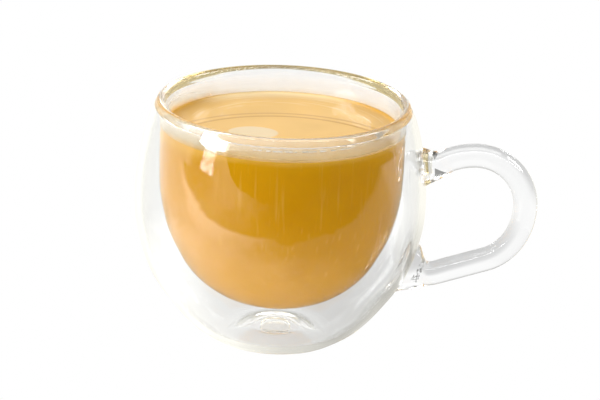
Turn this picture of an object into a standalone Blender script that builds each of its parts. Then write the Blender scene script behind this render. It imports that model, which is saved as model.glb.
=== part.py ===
"""Masala chai in its double-walled glass cup with a round rod handle.

Run with: blender --background --python part.py
The sizes below are in millimetres and the model is built in metres, +Z up, handle towards +X.
Profiles are (r, z) points: r from the cup's own axis, z from the surface that the cup stands on.
"""

import math

import bmesh
import bpy
import numpy as np

MM = 0.001

# Cup: the outer wall, from the edge of its foot ring up to the rim's bead
CUP_HEIGHT = 78.0
BELLY_RADIUS = 45.9
OUTER_WALL = (
    (17.6, 0.0), (20.8, 1.3), (27.8, 6.2), (34.6, 14.0), (41.1, 24.0),
    (45.1, 37.0), (BELLY_RADIUS, 47.5), (45.1, 58.0), (43.4, 67.5), (41.8, 73.0),
)
OUTER_THICKNESS = 1.8
OUTER_STEPS = 17

# Foot: a flat ring to stand on, with the glass pushed up inside it round the vent
FOOT_INNER_RADIUS = 15.6
KICK_HEIGHT = 2.5
KICK_FLAT_RADIUS = 6.2
KICK = ((FOOT_INNER_RADIUS, 0.0), (13.6, 0.6), (9.8, 1.9), (KICK_FLAT_RADIUS, KICK_HEIGHT))
KICK_STEPS = 5
VENT_RADIUS = 1.6

# Rim: a round bead where the two walls are fused
BEAD_RADIUS = 1.35
BEAD_CENTRE = (38.65, CUP_HEIGHT - BEAD_RADIUS)
BEAD_START_DEG = 25.0
BEAD_STEPS = 6

# Bowl: the inner wall's outer face, from just under the rim down to the axis
BOWL_WALL = (
    (38.35, 73.0), (38.4, 58.0), (37.9, 48.0), (35.7, 38.0), (32.3, 30.0),
    (27.8, 23.3), (22.0, 18.0), (15.4, 14.1), (8.0, 12.3), (0.0, 11.85),
)
BOWL_THICKNESS = 1.6
BOWL_STEPS = 15
CAVITY_TIP = (38.8, 75.1)

# Handle: a round glass rod, its centre line in the XZ plane
ROD_RADIUS = 3.8
LOOP_CENTRE = (61.2, 46.4)
LOOP_RADIUS = 16.05
LOOP_LOW_RADIUS = 18.85
TOP_ARC_RADIUS = 22.0
TOP_ARC_DEG = 24.0
LIMB_SLOPE_DEG = 18.0
ROD_SIDES = 18
LOOP_STEPS = 9

# Welds: x and z of the rod's middle and half its height there, from the glass outwards and back.
# Near the wall the rod is cut upright, and its sides swell by only a share of what its height does.
TOP_WELD = (
    (39.5, 57.9, 6.3), (42.2, 57.9, 6.3), (44.7, 57.9, 6.25), (46.6, 58.1, 5.45), (48.4, 58.6, 4.75),
    (50.2, 59.4, 4.2),
)
LOW_WELD = (
    (49.4, 23.0, 3.8), (47.2, 22.7, 3.95), (46.4, 23.0, 4.5), (45.6, 23.9, 5.8), (44.9, 24.7, 7.0),
    (43.5, 24.9, 7.4), (41.5, 24.2, 7.0), (38.9, 22.9, 6.1), (36.0, 21.3, 5.5), (32.0, 19.5, 5.0),
    (28.5, 18.5, 4.6),
)
TOP_WELD_SIDE = 0.8
LOW_WELD_SIDE = 0.35
UPRIGHT_X = (47.0, 52.0)

# Chai and the band of froth that it has left on the glass above it
CHAI_LEVEL = CUP_HEIGHT - 8.7
FIT_GAP = 0.3
FROTH_HEIGHT = 4.7
FROTH_THICKNESS = 0.6
FROTH_WAVES = ((2, 0.10, 0.4), (5, 0.09, 1.9), (9, 0.06, 4.0), (14, 0.04, 2.2))

# Seal: the soft plug in the vent, under the kick
SEAL_RADIUS = 4.85
SEAL_THICKNESS = 1.2
SEAL_STEM_TOP = 4.0
SEAL_EDGE = 0.4

ROUND_STEPS = 60
SEAL_ROUND_STEPS = 32
HANDLE_REACH = LOOP_CENTRE[0] + LOOP_RADIUS + ROD_RADIUS
AXIS_X = (BELLY_RADIUS - HANDLE_REACH) / 2


def clear_scene():
    for obj in list(bpy.data.objects):
        bpy.data.objects.remove(obj)
    for collection in list(bpy.data.collections):
        bpy.data.collections.remove(collection)


def new_collection(name):
    collection = bpy.data.collections.new(name)
    bpy.context.scene.collection.children.link(collection)
    return collection


def material(name, colour, roughness, transmission=0.0, ior=1.5):
    made = bpy.data.materials.new(name)
    made.use_nodes = True
    shader = made.node_tree.nodes["Principled BSDF"]
    shader.inputs["Base Color"].default_value = (*colour, 1.0)
    shader.inputs["Roughness"].default_value = roughness
    shader.inputs["Metallic"].default_value = 0.0
    shader.inputs["Transmission Weight"].default_value = transmission
    shader.inputs["IOR"].default_value = ior
    return made


def through(knots, count):
    """A smooth curve through the knots, as count points an equal way apart along it."""
    knots = np.array(knots, float)
    before = np.vstack([2 * knots[0] - knots[1], knots[:-1]])
    after = np.vstack([knots[1:], 2 * knots[-1] - knots[-2]])
    slopes = (after - before) / 2
    fine = []
    for start, end, out, into in zip(knots[:-1], knots[1:], slopes[:-1], slopes[1:]):
        t = np.linspace(0, 1, 24, endpoint=False)[:, None]
        fine.append(
            (1 + 2 * t) * (1 - t) ** 2 * start + t * (1 - t) ** 2 * out
            + t**2 * (3 - 2 * t) * end + t**2 * (t - 1) * into
        )
    fine = np.vstack([*fine, knots[-1:]])
    along = np.concatenate([[0], np.cumsum(np.hypot(*np.diff(fine, axis=0).T))])
    even = np.linspace(0, along[-1], count)
    return np.column_stack([np.interp(even, along, fine[:, i]) for i in (0, 1)])


def arc(centre, radii, start_deg, end_deg, steps):
    """Points on an arc or a part of an ellipse, both ends included."""
    turn = np.radians(np.linspace(start_deg, end_deg, steps))
    return np.column_stack([centre[0] + radii[0] * np.cos(turn), centre[1] + radii[1] * np.sin(turn)])


def beside(points, distance):
    """The profile moved sideways, to the left of its direction; a point on the axis stays on it."""
    along = np.gradient(points, axis=0)
    along[points[:, 0] < 1e-6, 1] = 0.0
    along /= np.hypot(*along.T)[:, None]
    return points + distance * np.column_stack([-along[:, 1], along[:, 0]])


def turned(name, profile, collection, steps=ROUND_STEPS, closed=False):
    """A profile turned round the cup's axis. It runs down the solid's outer side, top to bottom."""
    count = len(profile)
    edges = [(i, (i + 1) % count) for i in range(count if closed else count - 1)]
    mesh = bpy.data.meshes.new(name)
    mesh.from_pydata([(r * MM, 0.0, z * MM) for r, z in profile], edges, [])
    obj = bpy.data.objects.new(name, mesh)
    obj.location.x = AXIS_X * MM
    collection.objects.link(obj)
    screw = obj.modifiers.new("Turn", "SCREW")
    screw.angle = math.tau
    screw.steps = screw.render_steps = steps
    screw.use_merge_vertices = True
    screw.merge_threshold = 1e-5
    return obj


def evaluated_mesh(obj):
    bpy.context.view_layer.update()
    graph = bpy.context.evaluated_depsgraph_get()
    return bpy.data.meshes.new_from_object(obj.evaluated_get(graph))


def finish(obj, made, sharp_deg=40.0):
    """Keeps the evaluated shape as the object's own mesh, shaded smooth between its sharp edges."""
    mesh = evaluated_mesh(obj)
    obj.modifiers.clear()
    obj.data = mesh
    mesh.materials.clear()
    mesh.materials.append(made)
    mesh.shade_smooth()
    mesh.set_sharp_from_angle(angle=math.radians(sharp_deg))


def as_cutter(obj):
    obj.hide_render = True
    obj.display_type = "WIRE"


def boolean(obj, other, operation):
    cut = obj.modifiers.new(operation.title(), "BOOLEAN")
    cut.operation = operation
    cut.solver = "EXACT"
    cut.object = other


def bowl_outer_face():
    return through(BOWL_WALL, BOWL_STEPS)


def bowl_inner_face():
    return beside(bowl_outer_face(), -BOWL_THICKNESS)


def cup_profile():
    """Both walls in one line: up inside the bowl, over the rim, down the outside, into the cavity."""
    outer = through(OUTER_WALL, OUTER_STEPS)
    bead = arc(BEAD_CENTRE, (BEAD_RADIUS, BEAD_RADIUS), 180.0, BEAD_START_DEG, BEAD_STEPS)
    kick = through(KICK, KICK_STEPS)
    vent_floor = KICK_HEIGHT + OUTER_THICKNESS
    vent = [(VENT_RADIUS, KICK_HEIGHT), (VENT_RADIUS, vent_floor)]
    cavity_floor = beside(kick[::-1], OUTER_THICKNESS)[:-1]
    cavity_wall = beside(outer, OUTER_THICKNESS)[1:]
    return np.vstack([
        bowl_inner_face()[::-1], bead, outer[::-1], kick, vent,
        cavity_floor, cavity_wall, [CAVITY_TIP], bowl_outer_face(),
    ])


def weld_foot(stations, side):
    """A weld's stations as (x, z, half height, half width)."""
    x, z, high = np.array(stations).T
    return np.column_stack([x, z, high, ROD_RADIUS + (high - ROD_RADIUS) * side])


def rod_stations():
    """The rod's middle, half height and half width, from inside one weld round to inside the other."""
    centre_x, centre_z = LOOP_CENTRE
    top_centre = (centre_x, centre_z + LOOP_RADIUS - TOP_ARC_RADIUS)
    top = arc(top_centre, (TOP_ARC_RADIUS,) * 2, 90 + TOP_ARC_DEG, 90, 5)
    loop = arc(LOOP_CENTRE, (LOOP_RADIUS,) * 2, 90, 0, LOOP_STEPS)
    slope = math.tan(math.radians(LIMB_SLOPE_DEG))
    end_deg = math.degrees(math.atan2(LOOP_LOW_RADIUS, LOOP_RADIUS * slope))
    low = arc(LOOP_CENTRE, (LOOP_RADIUS, LOOP_LOW_RADIUS), 0, -end_deg, LOOP_STEPS)
    limb_x = np.linspace(low[-1, 0], LOW_WELD[0][0], 5)[1:-1]
    limb = np.column_stack([limb_x, low[-1, 1] - (low[-1, 0] - limb_x) * slope])
    rod = np.vstack([top, loop[1:], low[1:], limb])
    rod = np.column_stack([rod, np.full((len(rod), 2), ROD_RADIUS)])
    return np.vstack([weld_foot(TOP_WELD, TOP_WELD_SIDE), rod, weld_foot(LOW_WELD, LOW_WELD_SIDE)])


def handle_rod(collection):
    """The rod as a mesh, with its two weld feet, still running on into the cup's wall."""
    stations = rod_stations()
    ahead = np.gradient(stations[:, :2], axis=0)
    ahead /= np.hypot(*ahead.T)[:, None]
    upright_x, leaning_x = UPRIGHT_X
    upright = np.clip((leaning_x - stations[:, 0]) / (leaning_x - upright_x), 0, 1)[:, None]
    ahead = ahead * (1 - upright) + np.column_stack([np.sign(ahead[:, 0]), np.zeros(len(ahead))]) * upright
    ahead /= np.hypot(*ahead.T)[:, None]
    built = bmesh.new()
    rings = []
    for (x, z, high, wide), (along_x, along_z) in zip(stations, ahead):
        ring = []
        for i in range(ROD_SIDES):
            up, side = high * math.cos(math.tau * i / ROD_SIDES), wide * math.sin(math.tau * i / ROD_SIDES)
            ring.append(built.verts.new(((x - along_z * up) * MM, side * MM, (z + along_x * up) * MM)))
        rings.append(ring)
    for one, other in zip(rings[:-1], rings[1:]):
        for i in range(ROD_SIDES):
            j = (i + 1) % ROD_SIDES
            built.faces.new((one[i], one[j], other[j], other[i]))
    built.faces.new(rings[0])
    built.faces.new(rings[-1])
    bmesh.ops.recalc_face_normals(built, faces=built.faces)
    mesh = bpy.data.meshes.new("handle_rod")
    built.to_mesh(mesh)
    built.free()
    rod = bpy.data.objects.new("handle_rod", mesh)
    rod.location.x = AXIS_X * MM
    collection.objects.link(rod)
    return rod


def wall_core(collection):
    """What lies inside the middle of the outer wall: it trims the rod's two ends."""
    middle = beside(through(OUTER_WALL, OUTER_STEPS), OUTER_THICKNESS / 2)[:0:-1]
    top, bottom = (0.0, middle[0, 1]), (0.0, middle[-1, 1])
    return turned("wall_core", np.vstack([top, middle, bottom]), collection)


def glass_cup(parts, cutters):
    cup = turned("glass_cup", cup_profile(), parts)
    rod = handle_rod(cutters)
    core = wall_core(cutters)
    boolean(rod, core, "DIFFERENCE")
    boolean(cup, rod, "UNION")
    finish(cup, material("clear_glass", (1.0, 1.0, 1.0), 0.02, transmission=1.0, ior=1.47))
    as_cutter(rod)
    as_cutter(core)


def chai(parts):
    """The drink: flat on top, and the bowl's inner form below, a small gap clear of the glass."""
    side = beside(bowl_inner_face(), -FIT_GAP)
    crossing = np.interp(-CHAI_LEVEL, -side[:, 1], side[:, 0])
    below = side[side[:, 1] < CHAI_LEVEL - 1.0]
    profile = np.vstack([[(0.0, CHAI_LEVEL), (crossing, CHAI_LEVEL)], below])
    drink = turned("chai", profile, parts)
    finish(drink, material("milky_tea", (0.62, 0.33, 0.11), 0.25))


def froth_ring(parts):
    """The band of froth on the glass: a thin ring whose top edge rises and falls round the cup."""
    inner = bowl_inner_face()
    outside = np.interp(-CHAI_LEVEL, -inner[:, 1], inner[:, 0]) - FIT_GAP
    bottom = CHAI_LEVEL + FIT_GAP
    top = CHAI_LEVEL + FROTH_HEIGHT
    inside = outside - FROTH_THICKNESS
    profile = [(outside, top), (outside, bottom), (inside - 0.5, bottom), (inside, bottom + 1.0), (inside, top)]
    ring = turned("froth_ring", profile, parts, closed=True)
    finish(ring, material("froth", (0.86, 0.72, 0.50), 0.6))
    for vertex in ring.data.vertices:
        height = vertex.co.z / MM - bottom
        angle = math.atan2(vertex.co.y, vertex.co.x)
        wave = sum(size * math.sin(count * angle + start) for count, size, start in FROTH_WAVES)
        vertex.co.z = (bottom + height * (1 + wave)) * MM


def vent_seal(parts):
    """A flat-headed plug: the head under the kick, the stem up into the vent."""
    head_top = KICK_HEIGHT - FIT_GAP
    head_bottom = head_top - SEAL_THICKNESS
    stem = VENT_RADIUS - FIT_GAP
    profile = [
        (0.0, SEAL_STEM_TOP), (stem - SEAL_EDGE, SEAL_STEM_TOP), (stem, SEAL_STEM_TOP - SEAL_EDGE),
        (stem, head_top), (SEAL_RADIUS - SEAL_EDGE, head_top), (SEAL_RADIUS, head_top - SEAL_EDGE),
        (SEAL_RADIUS, head_bottom + SEAL_EDGE), (SEAL_RADIUS - SEAL_EDGE, head_bottom), (0.0, head_bottom),
    ]
    seal = turned("vent_seal", profile, parts, steps=SEAL_ROUND_STEPS)
    finish(seal, material("clear_silicone", (0.86, 0.87, 0.86), 0.35, transmission=0.6, ior=1.41))


def main():
    clear_scene()
    parts = new_collection("masala_chai")
    cutters = new_collection("cutters")
    glass_cup(parts, cutters)
    chai(parts)
    froth_ring(parts)
    vent_seal(parts)


main()
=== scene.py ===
"""The looks of a glass of masala chai: clear double-walled glass, milky tea, froth and a white studio."""

import math

import bmesh
import bpy
import numpy as np
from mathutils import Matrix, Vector


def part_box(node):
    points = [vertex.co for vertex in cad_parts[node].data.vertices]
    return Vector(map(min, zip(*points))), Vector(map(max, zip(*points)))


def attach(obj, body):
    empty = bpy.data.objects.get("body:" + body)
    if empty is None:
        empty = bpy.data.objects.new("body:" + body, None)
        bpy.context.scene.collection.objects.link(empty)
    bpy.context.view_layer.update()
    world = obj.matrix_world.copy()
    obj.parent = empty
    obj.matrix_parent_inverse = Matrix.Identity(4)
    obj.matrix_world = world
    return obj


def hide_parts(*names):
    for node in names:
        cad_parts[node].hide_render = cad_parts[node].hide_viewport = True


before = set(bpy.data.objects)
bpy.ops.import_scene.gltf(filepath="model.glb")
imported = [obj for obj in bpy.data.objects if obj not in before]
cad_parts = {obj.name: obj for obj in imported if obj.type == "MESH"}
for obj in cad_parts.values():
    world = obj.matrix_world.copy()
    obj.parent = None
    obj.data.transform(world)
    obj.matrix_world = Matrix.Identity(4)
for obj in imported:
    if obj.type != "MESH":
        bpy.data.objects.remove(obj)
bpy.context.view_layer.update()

MM = 0.001
WHITE = (1.0, 1.0, 1.0, 1.0)

# The cup, in millimetres: r from its axis, z from the table, as in the part itself
CHAI_LOW, CHAI_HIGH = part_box("chai")
CUP_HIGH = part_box("glass_cup")[1]
AXIS_X = (CHAI_LOW.x + CHAI_HIGH.x) / 2 / MM
CUP_HEIGHT = CUP_HIGH.z / MM
CHAI_LEVEL = CHAI_HIGH.z / MM
BELLY_RADIUS = CUP_HIGH.y / MM
OUTER_WALL = (
    (17.6, 0.0), (20.8, 1.3), (27.8, 6.2), (34.6, 14.0), (41.1, 24.0),
    (45.1, 37.0), (BELLY_RADIUS, 47.5), (45.1, 58.0), (43.4, 67.5), (41.8, 73.0),
)
OUTER_THICKNESS = 1.8
KICK_HEIGHT = 2.5
VENT_RADIUS = 1.6
KICK = ((15.6, 0.0), (13.2, 0.45), (9.8, 1.7), (7.6, 2.35), (6.2, KICK_HEIGHT))
SEAL_RING = ((0.0, 3.6), (4.1, 3.65), (4.5, 3.8), (4.85, 3.88), (5.2, 3.8), (5.6, 3.75))
BEAD_RADIUS = 1.35
BEAD_CENTRE = (38.65, CUP_HEIGHT - BEAD_RADIUS)
BEAD_START_DEG = 25.0
BOWL_WALL = (
    (38.35, 73.0), (38.4, 58.0), (37.9, 48.0), (35.7, 38.0), (32.3, 30.0),
    (27.8, 23.3), (22.0, 18.0), (15.4, 14.1), (8.0, 12.3), (0.0, 11.85),
)
BOWL_THICKNESS = 1.6
CAVITY_TIP = (38.8, 75.1)

# How finely curves are cut: steps round the axis, points along each profile, and steps between two knots
TURN_STEPS, PLUG_TURN_STEPS = 200, 96
OUTER_POINTS, BOWL_POINTS, CORE_POINTS, FINE_POINTS = 84, 72, 60, 200
BEAD_POINTS, KICK_POINTS, SEAL_POINTS, TIP_POINTS = 22, 24, 22, 9
KNOT_STEPS = 60

# A point nearer to the axis than this lies on it, and an edge at least this steep stays sharp
ON_AXIS = 1e-6
SHARP_DEG, TEA_SHARP_DEG = 40.0, 50.0

# The handle's rod
ROD_RADIUS = 3.8
LOOP_CENTRE = (61.2, 46.4)
LOOP_RADIUS = 16.05
LOOP_LOW_RADIUS = 18.85
TOP_ARC_RADIUS = 22.0
TOP_ARC_DEG = 24.0
LIMB_SLOPE_DEG = 18.0
TOP_ARC_POINTS, LOOP_POINTS, LIMB_POINTS = 5, 13, 5
ROD_SIDES, ROD_RINGS = 60, 200

# Welds: x and z of the rod's middle and half its height there, from the glass outwards and back
TOP_WELD = (
    (39.5, 57.9, 6.3), (42.2, 57.9, 6.3), (44.7, 57.9, 6.25), (46.6, 58.1, 5.45), (48.4, 58.6, 4.75),
    (50.2, 59.4, 4.2),
)
LOW_WELD = (
    (49.4, 23.0, 3.8), (47.2, 22.7, 3.95), (46.4, 23.0, 4.5), (45.6, 23.9, 5.8), (44.9, 24.7, 7.0),
    (43.5, 24.9, 7.4), (41.5, 24.2, 7.0), (38.9, 22.9, 6.1), (36.0, 21.3, 5.5), (32.0, 19.5, 5.0),
    (28.5, 18.5, 4.6),
)

# How much of its swelling each weld has in its width too, and the x up to which the rod is cut upright
TOP_WELD_SIDE, LOW_WELD_SIDE = 0.8, 0.35
UPRIGHT_X, LEANING_X = 47.0, 52.0

# Painted dark reflections in the welds' facets: corners as x from the axis and z, and how speckled each is
WELD_DARK_REFLECTIONS = (
    ((46.8, 64.0), (47.7, 61.5), (49.0, 63.0), 0.0),
    ((47.9, 59.4), (48.2, 55.7), (52.2, 57.4), 0.0),
    ((47.1, 55.4), (46.9, 53.2), (48.7, 54.6), 0.0),
    ((45.0, 62.0), (46.4, 59.0), (45.7, 61.7), 0.0),
    ((44.8, 65.0), (45.1, 63.6), (47.0, 64.0), 0.0),
    ((45.0, 28.0), (44.0, 20.5), (46.7, 28.0), 0.53),
    ((45.0, 28.0), (42.0, 22.0), (44.0, 20.5), 0.54),
    ((42.0, 19.7), (44.0, 18.6), (46.0, 19.7), 0.45),
)
DARK_REFLECTION_TINT = (0.11, 0.11, 0.105, 1.0)
MARK_SOFT, SPECKLE_SOFT = 0.15, 0.05

# A painted reflection of the tea, as an olive line along the top of the rim's back: where it comes in, by
# height and by depth
RIM_REFLECTION_COLOUR = (0.38, 0.27, 0.06, 1.0)
RIM_REFLECTION_Z = (CUP_HEIGHT - 0.42, CUP_HEIGHT - 0.25)
RIM_REFLECTION_Y = (8.0, 24.0)

GLASS_COLOUR = (0.995, 0.998, 0.995, 1.0)
WAVE_STRENGTH, WAVE_HEIGHT = 0.12, 0.0006

# The drink: how far it reaches into the glass, its meniscus and the gap below it, and the z of a normal from
# which on a face belongs to its top
SUNK_IN_GLASS = 0.15
MENISCUS_HEIGHT, MENISCUS_WIDTH, MENISCUS_TO_SIDE = 0.5, 1.8, 0.4
MENISCUS_POINTS, FLAT_POINTS = 10, 5
TOP_FACES_Z = 0.3

# The film of froth, from below the drink's level to above it, and the plug in the vent
FROTH_BELOW, FROTH_HEIGHT = 0.4, 6.9
FROTH_SUNK, FROTH_THICKNESS = 0.06, 0.22
FROTH_POINTS = 14
PLUG_RADIUS, PLUG_EDGE, PLUG_HEIGHT = 4.85, 0.5, 1.2
PLUG_GAP, PLUG_EDGE_POINTS = 0.02, 6

# How fine each noise is, as noise cells to a metre
WAVE_SCALE, CLOUD_SCALE, FROTH_CLOUD_SCALE = 45.0, 60.0, 55.0
FROTH_GRAIN_SCALE, HIGHLIGHT_DOT_SCALE, SPECKLE_SCALE, DOT_SCALE = 420.0, 900.0, 1500.0, 2200.0

# The tea's two colours, on its top and at its side, with the values of the cloud noise that they stand for
CLOUD_ENDS = (0.30, 0.72)
TEA_TOP = ((0.57, 0.33, 0.06, 1.0), (0.63, 0.365, 0.075, 1.0))
TEA_SIDE = ((0.84, 0.43, 0.004, 1.0), (0.89, 0.47, 0.006, 1.0))
SILICONE_COLOUR = (0.97, 0.98, 0.97, 1.0)

# The tea against the glass: upright streaks, and how deep under its level it is paler, at the left and beyond
TEA_STREAK = (1.0, 0.62, 0.10, 1.0)
TEA_STREAK_SCALE = (900.0, 900.0, 45.0)
TEA_STREAK_ENDS, TEA_STREAK_SHARE = (0.58, 0.78), 0.5
PALE_CLOUDS = -3.0
PALE_X, PALE_DEPTHS = (-50.0, -34.0), (-4.5, -1.6)
PALE_TOP, PALE_SHARE = 0.2, 0.7

# Pale froth afloat along the drink's back edge: how far in from the glass it goes, and which side it keeps to
AFLOAT_COLOUR = (0.63, 0.43, 0.19, 1.0)
AFLOAT_WIDTH, AFLOAT_CLOUDS = (0.5, 9.0), 7.0
AFLOAT_SIDE, AFLOAT_SIDE_ENDS = (-0.15, 0.99), (0.6, 0.95)
# At the very back edge, paler froth with a painted highlight along the meniscus
EDGE_FROTH_AND_HIGHLIGHT = (0.80, 0.62, 0.33, 1.0)
EDGE_WIDTH = (0.5, 5.0)

# Streaks of froth round the drink's back: noise cells to a millimetre inwards and to a radian round
FROTH_STREAK_CELLS = (1.1, 1.6)
FROTH_STREAK_ENDS, FROTH_STREAK_SHARE = (0.54, 0.68), 0.5
FROTH_STREAK_Y, FROTH_STREAK_WIDTH = (4.0, 14.0), (10.0, 15.0)

# Painted shade: darker tea at both sides of the drink's top, near the glass
SIDE_SHADE_COLOUR = (0.46, 0.235, 0.016, 1.0)
SIDE_SHADE_WIDTH, SIDE_SHADE_SHARE, SIDE_SHADE_ENDS = (1.0, 11.0), 0.75, (0.45, 0.8)

# One pale patch of froth at the front left of the drink
PATCH_COLOUR = (0.57, 0.47, 0.30, 1.0)
PATCH_CENTRE, PATCH_HALF = (-9.3, -6.4), (7.9, 6.2)
PATCH_ENDS, PATCH_SHARE = (0.85, 1.1), 0.75

# The rim's dark mirror image on the drink: the middle of its two bows in y, their radii and how dark each is
RIM_IMAGE_COLOUR = (0.36, 0.17, 0.015, 1.0)
RIM_IMAGE_Y = -25.7
RIM_IMAGES = ((37.3, 0.65), (40.3, 0.55))
RIM_IMAGE_WIDTH, RIM_IMAGE_ENDS_Y = (0.35, 0.85), (-9.0, -6.0)

# The froth on the glass: its colours by share of a height above the drink, and how far two noises move them
FROTH_LOW = (1.0, 0.62, 0.10, 1.0)
FROTH_MIDDLE = (1.0, 0.91, 0.68, 1.0)
FROTH_COLOURS = ((0.0, FROTH_LOW), (0.36, FROTH_MIDDLE), (1.0, WHITE))
FROTH_COLOURS_HEIGHT = 6.0
FROTH_CLOUDS, FROTH_GRAIN = -3.0, -0.8

# How much the froth covers: low down and above, thinner upwards, thinner at the back and denser at the left
FROTH_DENSE, FROTH_COVER, FROTH_DENSE_HEIGHT = 0.38, 0.22, (0.2, 2.4)
FROTH_THINS_HEIGHT = (2.2, 6.6)
FROTH_BACK_Y, FROTH_TOP_AT_BACK, FROTH_AT_BACK = (-22.0, 8.0), 0.12, 0.6
FROTH_LEFT_X, FROTH_AT_LEFT = (-52.0, -34.0), 2.6

# Brown dots in the froth at the left
DOT_COLOUR = (0.50, 0.26, 0.05, 1.0)
DOT_ENDS, DOT_SHARE = (0.66, 0.72), 0.5
DOT_X, DOT_HEIGHT = (-45.0, -30.0), (1.0, 5.0)

# A painted highlight on the front of the glass, as a broken white line of fine dots: its height, and where
# along x it comes and goes
HIGHLIGHT_LINE_Z = CHAI_LEVEL + 4.0
HIGHLIGHT_LINE_HALF, HIGHLIGHT_DOT_ENDS = (0.10, 0.22), (0.44, 0.50)
HIGHLIGHT_LINE_COMES_X, HIGHLIGHT_LINE_GOES_X = (-28.0, -25.0), (2.0, 6.0)

# The camera, as worked out from the photo's ellipses, on a picture of 600 x 400
PICTURE_WIDTH = 600
SENSOR_MM = 36.0
CAMERA_DISTANCE = 1.5
CAMERA_ELEVATION_DEG = 18.72
CAMERA_ROLL_DEG = 2.19
FOCAL_PX = 4752.0
AIM_HEIGHT = 0.038
AIM_OFFSET_PX = (20.6, 21.9)
CLIP = (0.05, 100.0)
MAX_BOUNCES, MAX_SEE_THROUGH = 200, 16

# The white studio, in metres and by direction. The room in front is dark up to its ceiling, and only dim for
# rays mirrored more than once. What is seen through the glass is dimmer towards the top
DARK_ROOM, DIM_ROOM, CEILING = 0.02, 0.46, 0.85
ROOM_LEAN, ROOM_ENDS, CEILING_Z = -0.265, (0.04, 0.14), (0.40, 0.56)
SEEN_THROUGH_Z, SEEN_THROUGH_TOP = (0.28, 0.85), 0.48

# Light on matt surfaces: from the left, a little from the right, and from the back right
LIGHT_TURNS, LIGHT_LEFT, LIGHT_RIGHT = (-1.0, 0.6), 3.3, 0.55
BACK_RIGHT, BACK_RIGHT_LEAN, BACK_RIGHT_ENDS = 5.0, 0.6, (0.7, 1.1)
FLOOR_TURNS, FLOOR_LEFT, FLOOR_RIGHT = (-0.2, 0.2), 2.8, 1.4

# The table: its size, its height, and its front edge and tint in reflections
TABLE_SIZE, TABLE_Z = 60.0, -0.0002
TABLE_EDGE_Y = (-0.184, -0.180)
TABLE_TINT = (1.0, 0.98, 0.90, 1.0)

# Each shade's centre, the distances over which it fades, and how bright the table is in its middle
SHADES = (
    ((0.015, 0.0), (0.015, 0.13), 0.70),
    ((0.060, 0.040), (0.025, 0.10), 0.86),
)

# How bright the table is as mirrored in the glass, along x: far in front of the cup, near it and behind it
FAR_X, MIRRORED_LEFT, MIRRORED_MIDDLE = (-0.17, 0.0), 2.5, 0.40
RIGHT_X, MIRRORED_RIGHT = (0.05, 0.25), 0.48
NEAR_X, NEAR_LEFT, NEAR_RIGHT = (-0.16, 0.09), 2.2, 0.5
NEAR_FAR_LEFT_X, NEAR_FAR_LEFT = (-0.215, -0.17), 0.55
BEHIND_X, BEHIND_LEFT = (-0.15, 0.05), 1.15
FAR_TO_NEAR_Y, NEAR_TO_BEHIND_Y = (-0.14, -0.07), (-0.02, 0.06)
BOWL_X, BOWL_SHARE = (-0.15, -0.03), 0.25

# How these edges waver: reach along x and y, and where each noise is looked up
WAVER_X, WAVER_Y = (0.12, (0.0, 0.0, 0.0)), (0.06, (0.7, 0.3, 0.0))
WAVER_SCALE = 22.0

# What reaches the eye only after more mirrorings than this, by running on inside the glass, comes out olive
RUNNING_ON = 40
INSIDE_GLASS = (0.58, 0.49, 0.27, 1.0)

# A window at the front left, mirrored under the rim: its direction, half widths, heights, glow and soft edges
WINDOW_TOWARDS = (-0.898, -0.441)
WINDOW_HALF, WINDOW_TOP_HALF = 0.10, 0.22
WINDOW_LOW, WINDOW_WIDENS, WINDOW_HIGH = 0.03, 0.30, 0.44
WINDOW_GLOW = 16.0
SOFT_EDGE, SOFT_TOP = 0.01, 0.02

# The window's image is torn by a stretched noise, less so where it widens
TEAR_CELLS, TEAR_ENDS = (60.0, 18.0), (0.50, 0.56)
WHOLE_Z, WHOLE_SHARE = (0.20, WINDOW_WIDENS + 0.04), 0.4

# Lamps seen only in reflections: middle and half size on a ceiling 1 m up, and brightness
LAMPS = (
    ((0.0, -0.79), (2.2, 0.09), 12.0),
    ((-1.6, 0.0), (0.8, 0.42), 13.0),
    ((1.6, 0.10), (0.8, 0.35), 10.0),
    ((0.0, 0.0), (0.70, 0.28), 4.0),
)

# The share of a lamp's half size that is fully bright, the lowest direction of a lamp, and the least divisor
LAMP_CORE, LAMP_LEAST_Z, LEAST_DIVISOR = 0.8, 0.1, 0.05


# Shapes

def through(knots, count):
    """A smooth curve through the knots, as count points an equal way apart along it."""
    knots = np.array(knots, float)
    before = np.vstack([2 * knots[0] - knots[1], knots[:-1]])
    after = np.vstack([knots[1:], 2 * knots[-1] - knots[-2]])
    slopes = (after - before) / 2
    fine = []
    for start, end, out, into in zip(knots[:-1], knots[1:], slopes[:-1], slopes[1:]):
        t = np.linspace(0, 1, KNOT_STEPS, endpoint=False)[:, None]
        fine.append(
            (1 + 2 * t) * (1 - t) ** 2 * start + t * (1 - t) ** 2 * out
            + t**2 * (3 - 2 * t) * end + t**2 * (t - 1) * into
        )
    fine = np.vstack([*fine, knots[-1:]])
    along = np.concatenate([[0], np.cumsum(np.hypot(*np.diff(fine[:, :2], axis=0).T))])
    even = np.linspace(0, along[-1], count)
    return np.column_stack([np.interp(even, along, column) for column in fine.T])


def arc(centre, radii, start_deg, end_deg, count):
    """Points on an ellipse's arc, given its two radii."""
    turn = np.radians(np.linspace(start_deg, end_deg, count))
    return np.column_stack([centre[0] + radii[0] * np.cos(turn), centre[1] + radii[1] * np.sin(turn)])


def beside(points, distance):
    """The profile moved sideways, to the left of its direction; a point on the axis stays on it."""
    along = np.gradient(points, axis=0)
    along[points[:, 0] < ON_AXIS, 1] = 0.0
    along /= np.hypot(*along.T)[:, None]
    return points + distance * np.column_stack([-along[:, 1], along[:, 0]])


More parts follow.
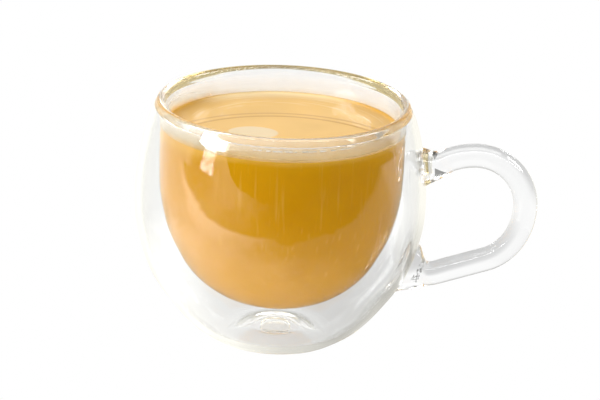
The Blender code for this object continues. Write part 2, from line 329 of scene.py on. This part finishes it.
def lathe(profile, steps=TURN_STEPS, closed=False):
    """A bmesh turned round the cup's axis from a profile that runs down the solid's outer side."""
    built = bmesh.new()
    count = len(profile)
    rings = []
    for r, z in profile:
        if r < ON_AXIS:
            rings.append([built.verts.new((AXIS_X * MM, 0.0, z * MM))] * steps)
            continue
        turns = (math.tau * i / steps for i in range(steps))
        rings.append([
            built.verts.new(((AXIS_X + r * math.cos(a)) * MM, r * math.sin(a) * MM, z * MM)) for a in turns
        ])
    for upper in range(count if closed else count - 1):
        lower = (upper + 1) % count
        for i in range(steps):
            j = (i + 1) % steps
            corners = [rings[upper][i], rings[lower][i], rings[lower][j], rings[upper][j]]
            corners = list(dict.fromkeys(corners))
            if len(corners) > 2:
                built.faces.new(corners)
    return built


def lathe_all(profiles):
    """Several turned shells in one bmesh."""
    joined = bmesh.new()
    for profile in profiles:
        shell = bpy.data.meshes.new("shell")
        built = lathe(profile)
        built.to_mesh(shell)
        built.free()
        joined.from_mesh(shell)
        bpy.data.meshes.remove(shell)
    return joined


def smoothed(mesh, sharp_deg=SHARP_DEG):
    """The mesh with smooth shading, except at its sharp edges."""
    mesh.shade_smooth()
    mesh.set_sharp_from_angle(angle=math.radians(sharp_deg))
    return mesh


def to_mesh(name, built, sharp_deg=SHARP_DEG):
    mesh = bpy.data.meshes.new(name)
    built.to_mesh(mesh)
    built.free()
    return smoothed(mesh, sharp_deg)


def bowl_outer_face(count=BOWL_POINTS):
    return through(BOWL_WALL, count)


def bowl_inner_face(count=BOWL_POINTS):
    return beside(bowl_outer_face(count), -BOWL_THICKNESS)


def inner_radius(z):
    """The bowl's inner radius at a height."""
    inner = bowl_inner_face(FINE_POINTS)
    return float(np.interp(-z, -inner[:, 1], inner[:, 0]))


def cup_profiles():
    """The glass's outside with the bowl's inside, and the space between the walls."""
    outer = through(OUTER_WALL, OUTER_POINTS)
    bead = arc(BEAD_CENTRE, (BEAD_RADIUS,) * 2, 180.0, BEAD_START_DEG, BEAD_POINTS)
    kick = through(KICK, KICK_POINTS)
    outside = np.vstack([bowl_inner_face()[::-1], bead, outer[::-1], kick, [(0.0, KICK_HEIGHT)]])

    # The floor between the walls stops short of the kick's ends, to meet the seal's ring and the outer wall
    cavity_floor = beside(kick[::-1], OUTER_THICKNESS)[3:-1]
    cavity_wall = beside(outer, OUTER_THICKNESS)[1:]
    tip = through([cavity_wall[-1], CAVITY_TIP, BOWL_WALL[0]], TIP_POINTS)[1:-1]
    seal_ring = through(SEAL_RING, SEAL_POINTS)
    return outside, np.vstack([seal_ring, cavity_floor, cavity_wall, tip, bowl_outer_face()])


def weld_foot(stations, side):
    """A weld's stations as (x, z, half height, half width)."""
    x, z, high = np.array(stations).T
    return np.column_stack([x, z, high, ROD_RADIUS + (high - ROD_RADIUS) * side])


def rod_stations():
    """The rod's middle, half height and half width, from inside one weld round to inside the other."""
    centre_x, centre_z = LOOP_CENTRE
    top_centre = (centre_x, centre_z + LOOP_RADIUS - TOP_ARC_RADIUS)
    top = arc(top_centre, (TOP_ARC_RADIUS,) * 2, 90 + TOP_ARC_DEG, 90, TOP_ARC_POINTS)
    loop = arc(LOOP_CENTRE, (LOOP_RADIUS,) * 2, 90, 0, LOOP_POINTS)
    slope = math.tan(math.radians(LIMB_SLOPE_DEG))
    end_deg = math.degrees(math.atan2(LOOP_LOW_RADIUS, LOOP_RADIUS * slope))
    low = arc(LOOP_CENTRE, (LOOP_RADIUS, LOOP_LOW_RADIUS), 0, -end_deg, LOOP_POINTS)
    limb_x = np.linspace(low[-1, 0], LOW_WELD[0][0], LIMB_POINTS)[1:-1]
    limb = np.column_stack([limb_x, low[-1, 1] - (low[-1, 0] - limb_x) * slope])
    rod = np.vstack([top, loop[1:], low[1:], limb])
    rod = np.column_stack([rod, np.full((len(rod), 2), ROD_RADIUS)])
    stations = np.vstack([weld_foot(TOP_WELD, TOP_WELD_SIDE), rod, weld_foot(LOW_WELD, LOW_WELD_SIDE)])
    return through(stations, ROD_RINGS)


def rod_mesh():
    """The handle's rod, cut upright near the cup, where it swells into its two welds."""
    stations = rod_stations()
    ahead = np.gradient(stations[:, :2], axis=0)
    ahead /= np.hypot(*ahead.T)[:, None]
    upright = np.clip((LEANING_X - stations[:, 0]) / (LEANING_X - UPRIGHT_X), 0, 1)[:, None]
    ahead = ahead * (1 - upright) + np.column_stack([np.sign(ahead[:, 0]), np.zeros(len(ahead))]) * upright
    ahead /= np.hypot(*ahead.T)[:, None]
    built = bmesh.new()
    rings = []
    for (x, z, high, wide), (along_x, along_z) in zip(stations, ahead):
        ring = []
        for i in range(ROD_SIDES):
            up = high * math.cos(math.tau * i / ROD_SIDES)
            side = wide * math.sin(math.tau * i / ROD_SIDES)
            place = (AXIS_X + x - along_z * up, side, z + along_x * up)
            ring.append(built.verts.new([number * MM for number in place]))
        rings.append(ring)
    for a, b in zip(rings[:-1], rings[1:]):
        for i in range(ROD_SIDES):
            j = (i + 1) % ROD_SIDES
            built.faces.new((a[i], a[j], b[j], b[i]))
    built.faces.new(rings[0][::-1])
    built.faces.new(rings[-1])
    bmesh.ops.recalc_face_normals(built, faces=built.faces)
    return to_mesh("rod", built)


def wall_core_mesh():
    """What lies inside the middle of the outer wall: it trims the rod's two ends."""
    middle = beside(through(OUTER_WALL, CORE_POINTS), OUTER_THICKNESS / 2)[:0:-1]
    top, bottom = (0.0, middle[0, 1]), (0.0, middle[-1, 1])
    return to_mesh("wall_core", lathe(np.vstack([top, middle, bottom])))


def new_object(name, data):
    obj = bpy.data.objects.new(name, data)
    bpy.context.scene.collection.objects.link(obj)
    return obj


def combined(name, base, other, operation):
    """The mesh that a Boolean makes of two meshes. Both objects it used are removed."""
    first, second = new_object(name, base), new_object(name + "_tool", other)
    cut = first.modifiers.new("join", "BOOLEAN")
    cut.operation = operation
    cut.solver = "MANIFOLD"
    cut.object = second
    bpy.context.view_layer.update()
    graph = bpy.context.evaluated_depsgraph_get()
    mesh = bpy.data.meshes.new_from_object(first.evaluated_get(graph))
    bpy.data.objects.remove(first)
    bpy.data.objects.remove(second)
    return mesh


def add_piece(name, mesh, material, replaced):
    """A piece of the cup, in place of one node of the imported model."""
    obj = new_object(name, mesh)
    mesh.materials.clear()
    mesh.materials.append(material)
    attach(obj, "root")
    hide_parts(replaced)


# Wiring of nodes

class Wiring:
    """Short ways to add and join the nodes of a material or of the world."""

    def __init__(self, owner):
        owner.use_nodes = True
        self.nodes, self.links = owner.node_tree.nodes, owner.node_tree.links

    def new(self, kind):
        return self.nodes.new("ShaderNode" + kind)

    def put(self, socket, value):
        if isinstance(value, bpy.types.NodeSocket):
            self.links.new(value, socket)
        else:
            socket.default_value = value

    def math(self, operation, *values):
        made = self.new("Math")
        made.operation = operation
        for socket, value in zip(made.inputs, values):
            self.put(socket, value)
        return made.outputs[0]

    def product(self, *values):
        """All the values multiplied."""
        made = values[0]
        for value in values[1:]:
            made = self.math("MULTIPLY", made, value)
        return made

    def less(self, value, number):
        return self.math("SUBTRACT", value, number)

    def ranged(self, value, ends, at_low, at_high, smooth=True):
        """From at_low at the first of the ends to at_high at the second."""
        made = self.new("MapRange")
        made.interpolation_type = "SMOOTHSTEP" if smooth else "LINEAR"
        sockets = ("Value", "From Min", "From Max", "To Min", "To Max")
        for key, number in zip(sockets, (value, *ends, at_low, at_high)):
            self.put(made.inputs[key], number)
        return made.outputs["Result"]

    def rising(self, value, ends):
        return self.ranged(value, ends, 0.0, 1.0)

    def fading(self, value, ends):
        return self.ranged(value, ends, 1.0, 0.0)

    def mix(self, kind, sockets, values):
        made = self.new("Mix")
        made.data_type = kind
        for socket, value in zip(sockets, values):
            self.put(made.inputs[socket], value)
        return made

    def blend(self, share, none, full):
        """The number none where share is 0, full where it is 1."""
        return self.mix("FLOAT", (0, 2, 3), (share, none, full)).outputs[0]

    def tint(self, share, none, full):
        """The colour none where share is 0, full where it is 1."""
        return self.mix("RGBA", (0, 6, 7), (share, none, full)).outputs[2]

    def ramp(self, value, *stops):
        """A colour by value, from stops of a place and a colour."""
        made = self.new("ValToRGB")
        elements = made.color_ramp.elements
        elements[0].position, elements[-1].position = stops[0][0], stops[-1][0]
        for place, _ in stops[1:-1]:
            elements.new(place)
        for element, (_, colour) in zip(elements, stops):
            element.color = colour
        self.put(made.inputs["Fac"], value)
        return made.outputs["Color"]

    def coordinates(self, kind="Object"):
        return self.new("TexCoord").outputs[kind]

    def parts(self, vector):
        made = self.new("SeparateXYZ")
        self.links.new(vector, made.inputs[0])
        return made.outputs

    def in_mm(self):
        """x, y and z of the object's own space, which is the part's frame, in millimetres."""
        return [self.math("DIVIDE", part, MM) for part in self.parts(self.coordinates())]

    def noise(self, scale, detail, vector=None):
        made = self.new("TexNoise")
        made.inputs["Scale"].default_value = scale
        made.inputs["Detail"].default_value = detail
        self.links.new(vector or self.coordinates(), made.inputs["Vector"])
        return made.outputs["Fac"]

    def stretched_noise(self, *values):
        """A noise looked up at pairs of a value and its number of noise cells to one."""
        place = self.new("CombineXYZ")
        for socket, (value, cells) in zip(place.inputs, values):
            self.put(socket, self.math("MULTIPLY", value, cells))
        return self.noise(1.0, 2.0, place.outputs[0])

    def mapped(self, vector, key, value):
        made = self.new("Mapping")
        self.put(made.inputs["Vector"], vector)
        made.inputs[key].default_value = value
        return made.outputs[0]

    def uneven(self, value, noise, reach):
        """The value moved by a noise, by up to half the reach either way."""
        return self.math("MULTIPLY_ADD", noise, reach, self.less(value, reach / 2))

    def dot(self, x, y, direction):
        return self.math("MULTIPLY_ADD", x, direction[0], self.math("MULTIPLY", y, direction[1]))

    def squared(self, x, y):
        return self.math("MULTIPLY_ADD", x, x, self.math("MULTIPLY", y, y))

    def distance(self, x, y, centre=(0.0, 0.0)):
        """How far a place in a plane is from a centre."""
        return self.math("SQRT", self.squared(self.less(x, centre[0]), self.less(y, centre[1])))

    def off(self, value, number):
        """How far a value is from a number, either way."""
        return self.math("ABSOLUTE", self.less(value, number))

    def past(self, kind, times):
        """Whether a ray was scattered (Diffuse), mirrored (Glossy) or let through more times than that."""
        return self.math("GREATER_THAN", self.new("LightPath").outputs[kind + " Depth"], times + 0.5)


# Materials

def new_material(name, settings):
    """A material, its wiring and its shader, with some of the shader's sockets set."""
    made = bpy.data.materials.new(name)
    wires = Wiring(made)
    shader = wires.nodes["Principled BSDF"]
    for socket, value in settings.items():
        shader.inputs[socket].default_value = value
    return made, wires, shader


def in_triangle(wires, x, z, corners):
    """Whether a place lies within three corners that follow each other to the left, with soft edges."""
    made = 1.0
    for (x0, z0), (x1, z1) in zip(corners, corners[1:] + corners[:1]):
        length = math.hypot(x1 - x0, z1 - z0)
        inwards = ((z0 - z1) / length, (x1 - x0) / length)
        edge = (AXIS_X + x0) * inwards[0] + z0 * inwards[1]
        inside = wires.less(wires.dot(x, z, inwards), edge)
        made = wires.product(wires.rising(inside, (0.0, MARK_SOFT)), made)
    return made


def glass_material():
    """Clear glass with small waves, a painted reflection of the tea as an olive line on the rim's back, and
    painted dark reflections as grey marks in the welds.
    """
    settings = {"Roughness": 0.0, "IOR": 1.47, "Transmission Weight": 1.0}
    made, wires, shader = new_material("clear_glass", settings)
    x, y, z = wires.in_mm()
    # Painted reflection of the tea: an olive line along the top of the rim's back
    line = wires.product(wires.rising(z, RIM_REFLECTION_Z), wires.rising(y, RIM_REFLECTION_Y))
    colour = wires.tint(line, GLASS_COLOUR, RIM_REFLECTION_COLOUR)
    speckles = wires.noise(SPECKLE_SCALE, 1.0)
    in_front = wires.math("LESS_THAN", y, 0.0)
    # Painted dark reflections, as grey marks in the welds' facets at the front
    for *corners, grain in WELD_DARK_REFLECTIONS:
        dark_reflection = wires.product(in_front, in_triangle(wires, x, z, corners))
        if grain:
            dark_reflection = wires.product(dark_reflection, wires.rising(speckles, (grain - SPECKLE_SOFT, grain + SPECKLE_SOFT)))
        colour = wires.tint(dark_reflection, colour, DARK_REFLECTION_TINT)
    wires.put(shader.inputs["Base Color"], colour)
    bump = wires.new("Bump")
    bump.inputs["Strength"].default_value = WAVE_STRENGTH
    bump.inputs["Distance"].default_value = WAVE_HEIGHT
    wires.put(bump.inputs["Height"], wires.noise(WAVE_SCALE, 1.0))
    wires.put(shader.inputs["Normal"], bump.outputs["Normal"])
    return made


def tea_top_material():
    """Glossy milky tea: froth along its back edge with a painted highlight at the very edge, painted shade at
    its sides, a pale patch and a painted mirror image of the rim.
    """
    made, wires, shader = new_material("milky_tea", {"Roughness": 0.015, "IOR": 1.36})
    x, y, _ = wires.in_mm()
    across = wires.less(x, AXIS_X)
    away = wires.distance(across, y)
    inwards = wires.math("SUBTRACT", inner_radius(CHAI_LEVEL), away)
    divisor = wires.math("ADD", away, 1.0)  # a millimetre more, so that it is never zero in the middle
    clouds = wires.noise(CLOUD_SCALE, 4.0)
    colour = wires.ramp(clouds, *zip(CLOUD_ENDS, TEA_TOP))

    facing = wires.math("DIVIDE", wires.dot(across, y, AFLOAT_SIDE), divisor)
    side = wires.rising(facing, AFLOAT_SIDE_ENDS)
    afloat = wires.product(wires.fading(wires.uneven(inwards, clouds, AFLOAT_CLOUDS), AFLOAT_WIDTH), side)
    colour = wires.tint(afloat, colour, AFLOAT_COLOUR)
    # Paler froth and a painted highlight at the very back edge
    edge = wires.product(wires.fading(inwards, EDGE_WIDTH), side)
    colour = wires.tint(edge, colour, EDGE_FROTH_AND_HIGHLIGHT)

    round_it = wires.math("ARCTAN2", y, across)
    streaks = wires.stretched_noise(*zip((away, round_it), FROTH_STREAK_CELLS))
    streaks = wires.ranged(streaks, FROTH_STREAK_ENDS, 0.0, FROTH_STREAK_SHARE)
    at_back = wires.rising(y, FROTH_STREAK_Y)
    streaks = wires.product(streaks, at_back, wires.fading(inwards, FROTH_STREAK_WIDTH))
    colour = wires.tint(streaks, colour, EDGE_FROTH_AND_HIGHLIGHT)

    # Painted shade: darker tea near the glass at both sides
    sideways = wires.math("DIVIDE", wires.math("ABSOLUTE", across), divisor)
    side_shade = wires.ranged(inwards, SIDE_SHADE_WIDTH, SIDE_SHADE_SHARE, 0.0)
    side_shade = wires.product(side_shade, wires.rising(sideways, SIDE_SHADE_ENDS))
    colour = wires.tint(side_shade, colour, SIDE_SHADE_COLOUR)

    over, up = (
        wires.math("DIVIDE", wires.less(value, centre), half)
        for value, centre, half in zip((across, y), PATCH_CENTRE, PATCH_HALF)
    )
    patch = wires.ranged(wires.squared(over, up), PATCH_ENDS, PATCH_SHARE, 0.0)
    colour = wires.tint(patch, colour, PATCH_COLOUR)

    from_middle = wires.distance(across, y, (0.0, RIM_IMAGE_Y))
    for radius, share in RIM_IMAGES:
        line = wires.ranged(wires.off(from_middle, radius), RIM_IMAGE_WIDTH, share, 0.0)
        line = wires.product(line, wires.rising(y, RIM_IMAGE_ENDS_Y))
        colour = wires.tint(line, colour, RIM_IMAGE_COLOUR)
    wires.put(shader.inputs["Base Color"], colour)
    return made


def tea_side_material():
    """Milky tea against the glass, a little paler just under its level and faintly streaked."""
    made, wires, shader = new_material("milky_tea_in_glass", {"Roughness": 0.3, "Specular IOR Level": 0.0})
    x, _, z = wires.in_mm()
    clouds = wires.noise(CLOUD_SCALE, 4.0)
    colour = wires.ramp(clouds, *zip(CLOUD_ENDS, TEA_SIDE))
    height = wires.uneven(wires.less(z, CHAI_LEVEL), clouds, PALE_CLOUDS)
    depth = wires.ranged(x, PALE_X, *PALE_DEPTHS)
    pale = wires.ranged(height, (depth, PALE_TOP), 0.0, PALE_SHARE)
    colour = wires.tint(pale, colour, FROTH_LOW)
    upright = wires.mapped(wires.coordinates(), "Scale", TEA_STREAK_SCALE)
    streaks = wires.ranged(wires.noise(1.0, 2.0, upright), TEA_STREAK_ENDS, 0.0, TEA_STREAK_SHARE)
    wires.put(shader.inputs["Base Color"], wires.tint(streaks, colour, TEA_STREAK))
    return made


def painted_highlight_line(wires, x, y, z):
    """A painted highlight: a broken white line of fine dots along the front of the glass."""
    highlight_dots = wires.rising(wires.noise(HIGHLIGHT_DOT_SCALE, 1.0), HIGHLIGHT_DOT_ENDS)
    line = wires.product(wires.fading(wires.off(z, HIGHLIGHT_LINE_Z), HIGHLIGHT_LINE_HALF), highlight_dots)
    line = wires.product(line, wires.rising(x, HIGHLIGHT_LINE_COMES_X), wires.fading(x, HIGHLIGHT_LINE_GOES_X))
    return wires.product(line, wires.math("LESS_THAN", y, 0.0))


def froth_material():
    """Froth that clings to the glass: tea-coloured and dense low down, paler and thinner above."""
    made, wires, shader = new_material("tea_froth", {"Roughness": 0.45})
    x, y, z = wires.in_mm()
    height = wires.less(z, CHAI_LEVEL)
    height = wires.uneven(height, wires.noise(FROTH_CLOUD_SCALE, 3.0), FROTH_CLOUDS)
    height = wires.uneven(height, wires.noise(FROTH_GRAIN_SCALE, 4.0), FROTH_GRAIN)
    share_up = wires.ranged(height, (0.0, FROTH_COLOURS_HEIGHT), 0.0, 1.0, smooth=False)
    dots = wires.ranged(wires.noise(DOT_SCALE, 1.0), DOT_ENDS, 0.0, DOT_SHARE)
    dots = wires.product(dots, wires.fading(x, DOT_X), wires.fading(height, DOT_HEIGHT))
    colour = wires.tint(dots, wires.ramp(share_up, *FROTH_COLOURS), DOT_COLOUR)
    # A painted highlight along the front of the glass, as a broken white line
    line = painted_highlight_line(wires, x, y, z)
    wires.put(shader.inputs["Base Color"], wires.tint(line, colour, WHITE))

    dense = wires.ranged(height, FROTH_DENSE_HEIGHT, FROTH_DENSE, FROTH_COVER)
    top = wires.ranged(y, FROTH_BACK_Y, 1.0, FROTH_TOP_AT_BACK)
    dense = wires.product(
        dense,
        wires.ranged(height, FROTH_THINS_HEIGHT, 1.0, top),
        wires.ranged(y, FROTH_BACK_Y, 1.0, FROTH_AT_BACK),
        wires.ranged(x, FROTH_LEFT_X, FROTH_AT_LEFT, 1.0),
    )
    covered = wires.math("MAXIMUM", dense, wires.math("MAXIMUM", line, dots))
    wires.put(shader.inputs["Alpha"], covered)
    return made


def seal_material():
    """Soft clear silicone."""
    settings = {"Base Color": SILICONE_COLOUR, "Roughness": 0.12, "IOR": 1.41, "Transmission Weight": 0.85}
    return new_material("clear_silicone", settings)[0]


# Pieces

def build_cup():
    """The glass of both walls, with the handle's rod joined on."""
    cup = to_mesh("cup_glass", lathe_all(cup_profiles()))
    rod = combined("rod_trimmed", rod_mesh(), wall_core_mesh(), "DIFFERENCE")
    joined = smoothed(combined("cup_joined", cup, rod, "UNION"))
    add_piece("cup_glass", joined, glass_material(), "glass_cup")


def build_tea():
    """The drink, its side reaching just into the glass, with a low meniscus round its top."""
    side = beside(bowl_inner_face(), SUNK_IN_GLASS)
    edge_z = CHAI_LEVEL + MENISCUS_HEIGHT
    edge_r = inner_radius(edge_z) + SUNK_IN_GLASS
    flat_r = edge_r - SUNK_IN_GLASS - MENISCUS_WIDTH
    t = np.linspace(0, 1, MENISCUS_POINTS)
    rise = np.column_stack([flat_r + (edge_r - flat_r) * t, CHAI_LEVEL + MENISCUS_HEIGHT * t**3])
    flat_steps = np.linspace(0, flat_r, FLAT_POINTS, endpoint=False)
    flat = np.column_stack([flat_steps, np.full(FLAT_POINTS, CHAI_LEVEL)])
    below = side[side[:, 1] < edge_z - MENISCUS_TO_SIDE]
    mesh = to_mesh("chai_drink", lathe(np.vstack([flat, rise, below])), TEA_SHARP_DEG)
    add_piece("chai_drink", mesh, tea_top_material(), "chai")
    mesh.materials.append(tea_side_material())
    for face in mesh.polygons:
        face.material_index = 0 if face.normal.z > TOP_FACES_Z else 1


def build_froth():
    """The film of froth on the glass above the drink. Its material thins it out unevenly upwards."""
    levels = np.linspace(CHAI_LEVEL - FROTH_BELOW, CHAI_LEVEL + FROTH_HEIGHT, FROTH_POINTS)
    radii = np.array([inner_radius(z) for z in levels])
    outside = np.column_stack([radii + FROTH_SUNK, levels])[::-1]
    inside = np.column_stack([radii - FROTH_THICKNESS, levels])
    mesh = to_mesh("froth_film", lathe(np.vstack([outside, inside]), closed=True))
    add_piece("froth_film", mesh, froth_material(), "froth_ring")


def build_seal():
    """The plug's rounded head, just under the pushed-up glass."""
    head_top = KICK_HEIGHT - PLUG_GAP
    head_bottom = head_top - PLUG_HEIGHT
    edge_r, edge = PLUG_RADIUS - PLUG_EDGE, (PLUG_EDGE,) * 2
    upper = arc((edge_r, head_top - PLUG_EDGE), edge, 90, 0, PLUG_EDGE_POINTS)
    lower = arc((edge_r, head_bottom + PLUG_EDGE), edge, 0, -90, PLUG_EDGE_POINTS)
    top = [(0.0, head_top), (VENT_RADIUS - PLUG_GAP, head_top)]
    profile = np.vstack([top, upper, lower, [(0.0, head_bottom)]])
    mesh = to_mesh("vent_plug", lathe(profile, PLUG_TURN_STEPS))
    add_piece("vent_plug", mesh, seal_material(), "vent_seal")


# Studio

def by_ray(wires, straight, let_through, mirrored, scattered):
    """Of four values, the one for what the ray has met; scattered counts before mirrored and let through."""
    value = wires.blend(wires.past("Transmission", 0), straight, let_through)
    value = wires.blend(wires.past("Glossy", 0), value, mirrored)
    return wires.blend(wires.past("Diffuse", 0), value, scattered)


def room_in_front(wires):
    """Nearly black for rays mirrored once, and dim for those mirrored again, as inside a rod or a rim."""
    return wires.blend(wires.past("Glossy", 1), DARK_ROOM, DIM_ROOM)


def lamps_light(wires, x, y, z):
    """The lamps on the ceiling, by where a direction meets it."""
    over = wires.math("MAXIMUM", z, LEAST_DIVISOR)
    across, along = wires.math("DIVIDE", x, over), wires.math("DIVIDE", y, over)
    above = wires.math("GREATER_THAN", z, LAMP_LEAST_Z)
    light = 0.0
    for (lamp_x, lamp_y), (half_x, half_y), glow in LAMPS:
        wide = wires.ranged(wires.off(across, lamp_x), (half_x * LAMP_CORE, half_x), glow, 0.0)
        deep = wires.fading(wires.off(along, lamp_y), (half_y * LAMP_CORE, half_y))
        light = wires.math("ADD", light, wires.product(wide, deep, above))
    return light


def window_light(wires, x, y, z):
    """The window at the front left: narrow below, wider at its top, and torn into upright strips."""
    towards_x, towards_y = WINDOW_TOWARDS
    aside = wires.dot(x, y, (-towards_y, towards_x))
    ahead = wires.math("GREATER_THAN", wires.dot(x, y, WINDOW_TOWARDS), 0.0)
    half = wires.ranged(z, (WINDOW_WIDENS - SOFT_TOP, WINDOW_WIDENS), WINDOW_HALF, WINDOW_TOP_HALF)
    inside = wires.math("SUBTRACT", half, wires.math("ABSOLUTE", aside))
    wide = wires.ranged(inside, (0.0, SOFT_EDGE), 0.0, WINDOW_GLOW)
    tall = wires.product(
        wires.rising(z, (WINDOW_LOW - SOFT_EDGE, WINDOW_LOW)),
        wires.fading(z, (WINDOW_HIGH, WINDOW_HIGH + SOFT_TOP)),
    )
    strips = wires.stretched_noise(*zip((aside, z), TEAR_CELLS))
    whole = wires.ranged(z, WHOLE_Z, 0.0, WHOLE_SHARE)
    torn = wires.rising(wires.math("ADD", strips, whole), TEAR_ENDS)
    return wires.product(wide, tall, torn, ahead)


def world_light():
    """White for the camera, soft light on matt surfaces, and a dark room with lamps in reflections."""
    world = bpy.data.worlds.new("studio")
    bpy.context.scene.world = world
    wires = Wiring(world)
    x, y, z = wires.parts(wires.coordinates("Generated"))

    behind = wires.math("MULTIPLY_ADD", x, ROOM_LEAN, y)
    low = wires.ranged(behind, ROOM_ENDS, room_in_front(wires), 1.0)
    mirrored = wires.ranged(z, CEILING_Z, low, CEILING)
    mirrored = wires.math("ADD", mirrored, lamps_light(wires, x, y, z))
    mirrored = wires.math("ADD", mirrored, window_light(wires, x, y, z))

    back_right = wires.math("MULTIPLY_ADD", y, BACK_RIGHT_LEAN, x)
    scattered = wires.math(
        "ADD",
        wires.ranged(x, LIGHT_TURNS, LIGHT_LEFT, LIGHT_RIGHT),
        wires.ranged(back_right, BACK_RIGHT_ENDS, 0.0, BACK_RIGHT),
    )
    let_through = wires.ranged(z, SEEN_THROUGH_Z, 1.0, SEEN_THROUGH_TOP)
    background = wires.nodes["Background"].inputs
    wires.put(background["Strength"], by_ray(wires, 1.0, let_through, mirrored, scattered))
    wires.put(background["Color"], wires.tint(wires.past("Glossy", RUNNING_ON), WHITE, INSIDE_GLASS))


def mirrored_table(wires, x, y):
    """How bright the table is as mirrored once in the glass: bright at the left, with dimmer stretches."""
    to_right = wires.ranged(x, RIGHT_X, MIRRORED_MIDDLE, MIRRORED_RIGHT)
    far = wires.ranged(x, FAR_X, MIRRORED_LEFT, to_right)
    near = wires.product(
        wires.ranged(x, NEAR_X, NEAR_LEFT, NEAR_RIGHT),
        wires.ranged(x, NEAR_FAR_LEFT_X, NEAR_FAR_LEFT, 1.0),
    )
    behind = wires.ranged(x, BEHIND_X, BEHIND_LEFT, 1.0)
    light = wires.blend(wires.rising(y, FAR_TO_NEAR_Y), far, near)
    light = wires.blend(wires.rising(y, NEAR_TO_BEHIND_Y), light, behind)

    # Rays that the bowl mirrored, behind the outer wall, show it dimmer in the middle and at the right
    once = wires.math("SUBTRACT", 1.0, wires.past("Glossy", 1))
    off_bowl = wires.product(wires.past("Transmission", 3), once)
    return wires.product(light, wires.blend(off_bowl, 1.0, wires.ranged(x, BOWL_X, 1.0, BOWL_SHARE)))


def build_floor():
    """A white table for the camera. Through glass it is shaded near the cup; mirrored, it ends in front."""
    bpy.ops.mesh.primitive_plane_add(size=TABLE_SIZE, location=(0.0, 0.0, TABLE_Z))
    floor = bpy.context.active_object
    floor.name = "studio_floor"
    made = bpy.data.materials.new("studio_floor")
    wires = Wiring(made)
    wires.nodes.remove(wires.nodes["Principled BSDF"])
    glow = wires.new("Emission")
    wires.put(wires.nodes["Material Output"].inputs["Surface"], glow.outputs["Emission"])
    position = wires.new("NewGeometry").outputs["Position"]
    x, y, _ = wires.parts(position)

    shaded = wires.product(*(
        wires.ranged(wires.distance(x, y, centre), reach, level, 1.0) for centre, reach, level in SHADES
    ))
    wavering = []
    for value, (reach, moved) in ((x, WAVER_X), (y, WAVER_Y)):
        noise = wires.noise(WAVER_SCALE, 2.0, wires.mapped(position, "Location", moved))
        wavering.append(wires.uneven(value, noise, reach))
    x, y = wavering

    table = wires.blend(wires.past("Glossy", 1), mirrored_table(wires, x, y), 1.0)
    table = wires.ranged(y, TABLE_EDGE_Y, room_in_front(wires), table)
    lit = wires.ranged(x, FLOOR_TURNS, FLOOR_LEFT, FLOOR_RIGHT)
    wires.put(glow.inputs["Strength"], by_ray(wires, 1.0, shaded, wires.product(table, shaded), lit))
    colour = wires.tint(wires.past("Glossy", 0), WHITE, TABLE_TINT)
    wires.put(glow.inputs["Color"], wires.tint(wires.past("Glossy", RUNNING_ON), colour, INSIDE_GLASS))
    floor.data.materials.append(made)


def place_camera():
    """The photo's camera: long lens, looking a little down, with its slight roll."""
    lens = bpy.data.cameras.new("camera")
    lens.sensor_width = SENSOR_MM
    lens.lens = FOCAL_PX * SENSOR_MM / PICTURE_WIDTH
    lens.clip_start, lens.clip_end = CLIP
    camera = new_object("camera", lens)
    tilt = math.radians(CAMERA_ELEVATION_DEG)
    roll = math.radians(CAMERA_ROLL_DEG)
    look_at = Vector((AXIS_X * MM, 0.0, AIM_HEIGHT))
    level_ahead = Vector((0.0, math.cos(tilt), -math.sin(tilt)))
    level_right = Vector((1.0, 0.0, 0.0))
    level_up = level_right.cross(level_ahead)
    right = level_right * math.cos(roll) + level_up * math.sin(roll)
    up = level_up * math.cos(roll) - level_right * math.sin(roll)
    place = look_at - level_ahead * CAMERA_DISTANCE
    aim_right, aim_up = (pixels * CAMERA_DISTANCE / FOCAL_PX for pixels in AIM_OFFSET_PX)
    ahead = (look_at + right * aim_right + up * aim_up - place).normalized()
    right = (right - ahead * right.dot(ahead)).normalized()
    up = right.cross(ahead)
    turn = camera.matrix_world.to_3x3()
    for row in range(3):
        turn[row] = (right[row], up[row], -ahead[row])
    camera.matrix_world = turn.to_4x4()
    camera.location = place
    bpy.context.scene.camera = camera


def set_view():
    """Plain colours, and enough bounces for light that runs on inside the glass."""
    scene = bpy.context.scene
    scene.view_settings.view_transform = "Standard"
    scene.view_settings.look = "None"
    scene.cycles.max_bounces = MAX_BOUNCES
    scene.cycles.transmission_bounces = MAX_BOUNCES
    scene.cycles.glossy_bounces = MAX_BOUNCES
    scene.cycles.transparent_max_bounces = MAX_SEE_THROUGH


build_cup()
build_tea()
build_froth()
build_seal()
world_light()
build_floor()
place_camera()
set_view()
